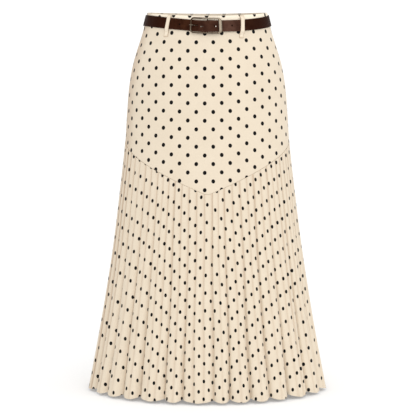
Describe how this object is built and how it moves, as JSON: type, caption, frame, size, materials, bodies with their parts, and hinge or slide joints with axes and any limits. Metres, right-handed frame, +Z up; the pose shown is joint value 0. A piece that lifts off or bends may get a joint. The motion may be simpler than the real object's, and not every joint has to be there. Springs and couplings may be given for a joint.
{
  "type": "pleated a-line skirt with belt",
  "caption": "Hollow, worn-shape a-line skirt: a smooth yoke with a pointed seam over soft pleats that flare to a scalloped hem, with belt loops and a narrow buckled leather belt.",
  "frame": {"origin": "middle of the waist at the height of the belt, 20 mm below the side of the top edge", "axes": "+Z up, front of the skirt towards -Y, +X towards the wearer's left, which is the picture's right"},
  "size_m": [0.4981, 0.3725, 0.782],
  "materials": {
    "cloth": "soft matte weave in warm cream with small near-black dots",
    "belt_leather": "very dark brown, satin, rounded edges",
    "buckle_metal": "dark bronze, worn bright at the edges",
    "zip_tape": "plain cream woven tape",
    "zip_metal": "dark bronze"
  },
  "bodies": {
    "root": {"yoke_front": "cloth", "yoke_back_right": "cloth", "yoke_back_left": "cloth", "pleats_front": "cloth", "pleats_back": "cloth", "loop_front_left": "cloth", "loop_front_right": "cloth", "loop_back_left": "cloth", "loop_back_right": "cloth", "belt_strap": "belt_leather", "buckle_frame": "buckle_metal", "buckle_prong": "buckle_metal", "zip_tape": "zip_tape", "zip_slider": "zip_metal", "zip_pull": "zip_metal"}
  },
  "joints": []
}
